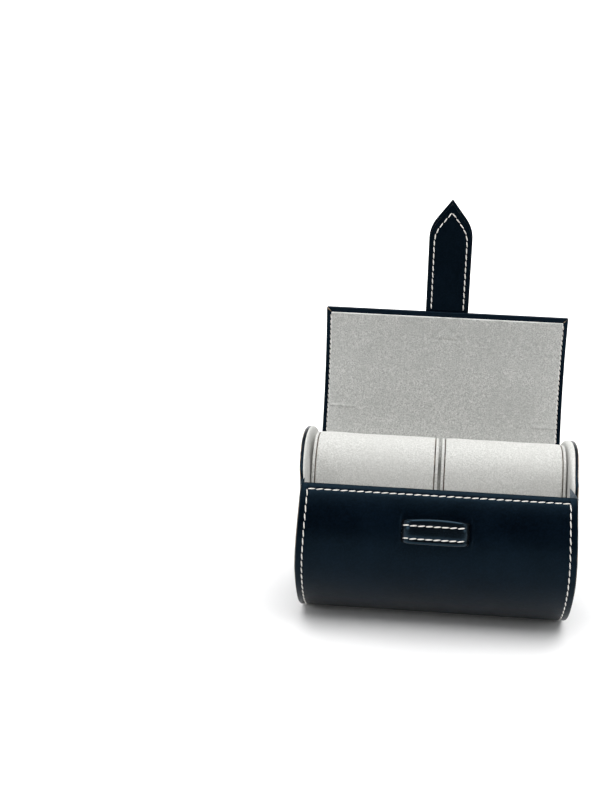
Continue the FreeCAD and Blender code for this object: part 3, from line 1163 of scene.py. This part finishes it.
def panel_rings(side, profile, puff, seed=None, around=180):
    """Rings of (x, inset) round the panel; a deep inset is a share of the way to the middle."""
    rings = []
    for x, inset in profile:
        ring = []
        for index in range(around):
            angle = 2 * math.pi * index / around
            reach = panel_reach(angle) + puff * open_share(angle if angle < math.pi else 0.0)
            far_in = inset >= RIM_DEPTH
            distance = max(reach * (1 - inset / INNER_RADIUS) if far_in else reach - inset, 0.02 * mm)
            height = AXIS_Z + distance * math.sin(angle)
            y = -distance * math.cos(angle)
            share = fade(x, disc_low.x - LEAN_STARTS, disc_low.x)
            out = x + spread(height) * share + lean(height, side) * (0.15 + 0.85 * share)
            if seed is not None and inset > 1.0 * mm:
                out += 0.1 * mm * ripple(y, height, 9 * mm, seed)
            ring.append(Vector((side * out, y, height)))
        rings.append(ring)
    return rings


PAD_FACE = {-1: 2.6 * mm, 1: 1.7 * mm}
RIM_PUFF = 1.5 * mm
DISC_LIP = 0.5 * mm
DISC_EDGE_ROWS = (6, 7, 8)
FACE_SHARES = np.linspace(1, 0, 16)


def settle(piece):
    """Gives the piece its own copy of its mesh."""
    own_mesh(piece)


def cover_profile(low):
    """Up the flat inner face and over the soft, rounded rim to the disc: (x, inset from the edge)."""
    high = pad_high.x - DISC_LIP
    face = 2.4 * mm
    inner = 3.2 * mm
    profile = [(low + 0.3 * mm * share ** 2, inner + (INNER_RADIUS - inner) * share) for share in FACE_SHARES]
    width = high - 0.15 * mm - low - 0.05 * mm
    for step in range(12):
        angle = math.pi / 2 * step / 11
        profile.append((low + 0.05 * mm + width * (1 - math.cos(angle)), face * (1 - math.sin(angle))))
    return profile + [(high - 0.04 * mm, 0.12 * mm), (high, 1.0 * mm), (high, INNER_RADIUS)]


def disc_profile():
    """The disc's cut edge, the pressed row of its seam and its slightly full face: (x, inset)."""
    lip, outside = disc_low.x - DISC_LIP, disc_high.x
    profile = [(disc_low.x, INNER_RADIUS), (disc_low.x, 2.6 * mm)]
    profile += [(lip + x * mm, inset * mm) for x, inset in ((0, 1.5), (0.02, 0.35), (0.15, 0.08), (0.45, 0))]
    profile += [(outside - x * mm, inset * mm) for x, inset in (
        (0.5, 0), (0.25, 0.05), (0.07, 0.25), (0, 0.6), (0, 1.8), (0.06, 2.15), (0.13, 2.6), (0.04, 3.05))]
    inner = 3.5 * mm
    return profile + [(outside + (0.08 + 0.62 * math.sin(math.pi / 2 * (1 - share))) * mm,
                       inner + (INNER_RADIUS - inner) * (1 - share)) for share in FACE_SHARES]


def end_pieces():
    for side, name in SIDES:
        rings = panel_rings(side, cover_profile(pad_low.x + PAD_FACE[side]), RIM_PUFF + 0.15 * mm, 4.0 + side)
        # The cover's lighter suede copy is painted light.
        cover = skin("end_%s_cover" % name, rings, [LIT_PANEL_SUEDE])
        carry(cover, "case")
        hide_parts("end_%s_suede" % name, "end_%s_core" % name)
        settle(cover)
        outer = skin("end_%s_disc" % name, panel_rings(side, disc_profile(), RIM_PUFF), [LEATHER, EDGE],
                     lambda row, column: row in DISC_EDGE_ROWS)
        carry(outer, "case")
        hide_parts("end_%s_leather" % name)
        settle(outer)
        ring = panel_rings(side, [(disc_high.x - 0.03 * mm, 2.6 * mm)], RIM_PUFF, around=240)[0]
        row = [(point, Vector((side, 0, 0))) for point in ring + ring[:1]]
        thread = sew("end_%s_thread" % name, [row], PITCH, seed=81 + side)
        carry(thread, "case")
        settle(thread)


# Cushions: suede over foam, with piped end caps

CUSHION_FULL = 2.3 * mm
CAP_OVERLAP = 0.5 * mm


AROUND_CUSHION = 128
OVAL_POWER = 2.42
CLOTH_FRAMES = 20
SWELL_LIMIT = 0.55 * mm
CLOTH_SETTINGS = {"quality": 6, "mass": 0.05, "tension_stiffness": 12, "compression_stiffness": 12,
                  "shear_stiffness": 6, "bending_stiffness": 0.3, "use_pressure": True,
                  "uniform_pressure_force": 4, "vertex_group_mass": "seams"}


def oval_reach(angle, half_depth, half_height):
    c, s = abs(math.cos(angle)), abs(math.sin(angle))
    return ((c / half_depth) ** OVAL_POWER + (s / half_height) ** OVAL_POWER) ** (-1 / OVAL_POWER)


def oval_ring(oval, x, scale, inset=0.0):
    """A ring round a cushion, scaled and then drawn in by an inset."""
    half_depth, half_height, centre = oval
    points = []
    for index in range(AROUND_CUSHION):
        angle = 2 * math.pi * index / AROUND_CUSHION
        reach = oval_reach(angle, half_depth * scale - inset, half_height * scale - inset)
        points.append(Vector((x, reach * math.cos(angle), centre + reach * math.sin(angle))))
    return points


def swell(piece, pinned):
    """Cloth under pressure: the cover puffs up between its seams, by no more than a limit."""
    mesh = piece.data
    before = np.empty(len(mesh.vertices) * 3)
    mesh.vertices.foreach_get("co", before)
    seams = piece.vertex_groups.new(name="seams")
    seams.add(pinned, 1.0, "REPLACE")
    modifier = piece.modifiers.new("padding", "CLOTH")
    cloth = modifier.settings
    for key, value in CLOTH_SETTINGS.items():
        setattr(cloth, key, value)
    cloth.effector_weights.gravity = 0
    modifier.point_cache.frame_start = 1
    modifier.point_cache.frame_end = CLOTH_FRAMES
    modifier.collision_settings.use_collision = False
    scene = bpy.context.scene
    for number in range(1, CLOTH_FRAMES + 1):
        scene.frame_set(number)
    shape = piece.evaluated_get(bpy.context.evaluated_depsgraph_get())
    after = np.empty(len(before))
    shape.data.vertices.foreach_get("co", after)
    scene.frame_set(1)
    piece.modifiers.remove(modifier)
    piece.vertex_groups.remove(seams)
    move = (after - before).reshape(-1, 3)
    size = np.linalg.norm(move, axis=1, keepdims=True)
    move *= np.where(size > 0, SWELL_LIMIT * np.tanh(size / SWELL_LIMIT) / np.maximum(size, 1e-9), 0.0)
    mesh.vertices.foreach_set("co", before + move.ravel())
    mesh.update()


def cushion_sleeve(side, name, oval, low, high):
    """The sleeve: narrower at its two seams, swollen between them, and never quite even."""
    centre = oval[2]
    places = [0.0, 0.004, 0.009, 0.016] + list(np.linspace(0.03, 0.97, 54)) + [0.984, 0.991, 0.996, 1.0]
    rings = []
    for place in places:
        edge = min(place, 1 - place)
        scale = 1.0 - 0.014 * (1 - min(edge / 0.3, 1.0)) ** 2
        inset = 0.9 * mm * (1 - min(edge / 0.016, 1.0)) ** 2 + 0.45 * mm * fade(edge, 0.02, 0.3)
        rings.append(oval_ring(oval, low + (high - low) * place, scale, inset))
    last = len(rings) - 2
    sleeve = skin("cushion_%s_cover" % name, rings, [CUSHION, SEAM],
                  lambda row, column: min(row, last - row) < 2)
    held = 0.03 * (high - low)
    pinned = [v.index for v in sleeve.data.vertices if min(v.co.x - low, high - v.co.x) < held]
    swell(sleeve, pinned)
    for vertex in sleeve.data.vertices:
        point = vertex.co
        free = fade(min(point.x - low, high - point.x), 0.8 * mm, 4.0 * mm)
        out = Vector((0, point.y, (point.z - centre) * 0.35)).normalized()
        broad = Vector((point.x / (14 * mm) + 9 * side, point.y / (20 * mm), point.z / (20 * mm)))
        fine = Vector((point.x / (4 * mm), point.y / (6 * mm), point.z / (6 * mm)))
        uneven = 0.16 * noise.noise(broad) + 0.05 * noise.noise(fine)
        vertex.co = point + out * (uneven * free * mm)
    sleeve.data.update()
    carry(sleeve, "cushion_%s" % name)
    settle(sleeve)
    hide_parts("cushion_%s_sleeve" % name, "cushion_%s_core" % name)


def cushion_cap(side, name, cap, oval, middle):
    """A cap with a piped rim and a face that is dished between rim and centre."""
    cap_low, cap_high = node_box("cushion_%s_%s" % (name, cap))
    outwards = 1 if (cap_low.x + cap_high.x) / 2 > middle else -1
    start = (cap_low.x if outwards > 0 else cap_high.x) + outwards * CAP_OVERLAP
    if cap == "cap_outer":
        start += outwards * PAD_FACE[side]
    thick = cap_high.x - cap_low.x - CAP_OVERLAP
    pipe = thick / 2
    rings = [oval_ring(oval, start + outwards * 0.2 * mm, 0.6),
             oval_ring(oval, start + outwards * 0.1 * mm, 0.984, 1.0 * mm)]
    for step in range(11):
        angle = math.pi * step / 10
        x = start + outwards * (pipe - pipe * math.cos(angle))
        rings.append(oval_ring(oval, x, 0.984, 0.62 * mm - 0.7 * mm * math.sin(angle) ** 0.8))
    end = start + outwards * thick
    for scale, dip in ((0.93, 0.1), (0.86, 0.26), (0.75, 0.24), (0.6, 0.15), (0.35, 0.05), (0.12, 0.0)):
        rings.append(oval_ring(oval, end - outwards * dip * mm, scale, 1.2 * mm))
    piece = skin("cushion_%s_%s_skin" % (name, cap), rings, [CUSHION, SEAM],
                 lambda row, column: row in (1, 2))
    piece.data.polygons[-1].material_index = 0
    carry(piece, "cushion_%s" % name)
    settle(piece)
    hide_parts("cushion_%s_%s" % (name, cap))


def cushion_pieces(side, name):
    sleeve_low, sleeve_high = node_box("cushion_%s_sleeve" % name)
    half_depth = (sleeve_high.y - sleeve_low.y) / 2
    half_height = (sleeve_high.z - sleeve_low.z) / 2 + CUSHION_FULL / 2
    centre = (sleeve_high.z + sleeve_low.z) / 2 + CUSHION_FULL / 2
    oval = (half_depth, half_height, centre)
    low = sleeve_low.x - (CAP_OVERLAP + (PAD_FACE[side] if side < 0 else 0.0))
    high = sleeve_high.x + (CAP_OVERLAP + (PAD_FACE[side] if side > 0 else 0.0))
    cushion_sleeve(side, name, oval, low, high)
    for cap in ("cap_outer", "cap_inner"):
        cushion_cap(side, name, cap, oval, (low + high) / 2)


# Stage, camera and light

FLOOR_RADIUS = 1.5
WALL_CURVE = 0.6
WALL_TOP = 1.1
AROUND_FLOOR = 72


def make_backdrop():
    """White paper: flat where the case stands, curving up to a low wall behind; the front is open."""
    profile = [(0.4, 0.0), (0.9, 0.0), (FLOOR_RADIUS, 0.0)]
    for step in range(1, 13):
        angle = math.pi / 2 * step / 12
        profile.append((FLOOR_RADIUS + WALL_CURVE * math.sin(angle), WALL_CURVE * (1 - math.cos(angle))))
    profile.append((FLOOR_RADIUS + WALL_CURVE, WALL_TOP))
    turns = [2 * math.pi * k / AROUND_FLOOR for k in range(AROUND_FLOOR)]
    points = [(0.0, 0.0, 0.0)]
    for radius, height in profile:
        points += [(radius * math.cos(turn), radius * math.sin(turn), height) for turn in turns]
    faces = []
    for k in range(AROUND_FLOOR):
        following = (k + 1) % AROUND_FLOOR
        faces.append((0, 1 + k, 1 + following))
        in_front = math.sin(2 * math.pi * (k + 0.5) / AROUND_FLOOR) < 0
        for row in range(len(profile) - 1):
            if row > 1 and in_front:
                continue
            low = 1 + row * AROUND_FLOOR
            high = low + AROUND_FLOOR
            faces.append((low + k, high + k, high + following, low + following))
    mesh = bpy.data.meshes.new("backdrop")
    mesh.from_pydata(points, [], faces)
    mesh.shade_smooth()
    backdrop = add_object("backdrop", mesh)
    paper = Material("white_paper", Roughness=0.7, Specular_IOR_Level=0.15)
    whites = colour(0.89, 0.89, 0.89), colour(0.92, 0.92, 0.92)
    paper.feed("Base Color", paper.mix(paper.noise(0.004), *whites))
    mesh.materials.append(paper.material)


def make_camera():
    """The camera's place and turn, worked out in the case's own frame."""
    yaw = Matrix.Rotation(-CASE_YAW, 3, "Z")
    place = yaw @ Vector((-CASE_PLACE[0], -CASE_PLACE[1], CAMERA_HEIGHT))
    forward = yaw @ Vector((0, math.cos(CAMERA_PITCH), -math.sin(CAMERA_PITCH)))
    right = yaw @ Vector((1, 0, 0))
    up = right.cross(forward)
    turn = Matrix.Rotation(CAMERA_ROLL, 3, forward).inverted()
    right, up = turn @ right, turn @ up
    data = bpy.data.cameras.new("camera")
    data.sensor_width = SENSOR
    data.lens = FOCAL_PIXELS / IMAGE[1] * SENSOR
    data.shift_x = (IMAGE[0] / 2 - PRINCIPAL[0]) / IMAGE[1]
    data.shift_y = (PRINCIPAL[1] - IMAGE[1] / 2) / IMAGE[1]
    data.clip_start = 0.01
    camera = add_object("camera", data)
    camera.matrix_world = Matrix.Translation(place) @ Matrix((right, up, -forward)).transposed().to_4x4()
    bpy.context.scene.camera = camera


# Soft boxes: name, place, what they face, width and height in metres, and power in watts
SOFT_BOXES = (("top_box", (0.05, -0.25, 0.95), (0, 0.0, 0), (1.1, 0.8), 12.2),
              ("left_box", (-0.95, -0.62, 0.5), (0, 0.0, 0.07), (0.5, 0.5), 3.1),
              ("right_box", (1.2, -0.4, 0.5), (0, 0.0, 0.07), (0.6, 0.5), 2.4),
              ("wall_box", (0.0, 0.7, 1.3), (0, 2.0, 0.35), (2.4, 0.5), 60.0))
SKY = (0.95, 0.97, 1, 1)
SKY_STRENGTH = 0.15


def make_light():
    world = bpy.data.worlds.new("studio")
    world.use_nodes = True
    sky = world.node_tree.nodes["Background"].inputs
    sky["Color"].default_value = SKY
    sky["Strength"].default_value = SKY_STRENGTH
    bpy.context.scene.world = world
    for name, place, target, (width, height), power in SOFT_BOXES:
        data = bpy.data.lights.new(name, "AREA")
        data.shape = "RECTANGLE"
        data.size = width
        data.size_y = height
        data.energy = power
        light = add_object(name, data)
        light.location = place
        light.rotation_euler = (Vector(target) - Vector(place)).to_track_quat("-Z", "Y").to_euler()
    bpy.context.scene.view_settings.view_transform = "Standard"


flap_pieces()
corner_folds()
corner_tabs()
flap_thread()
strap_pieces()
strap_thread()
keeper_pieces()
end_pieces()
for side, name in SIDES:
    cushion_pieces(side, name)
make_backdrop()
make_camera()
make_light()
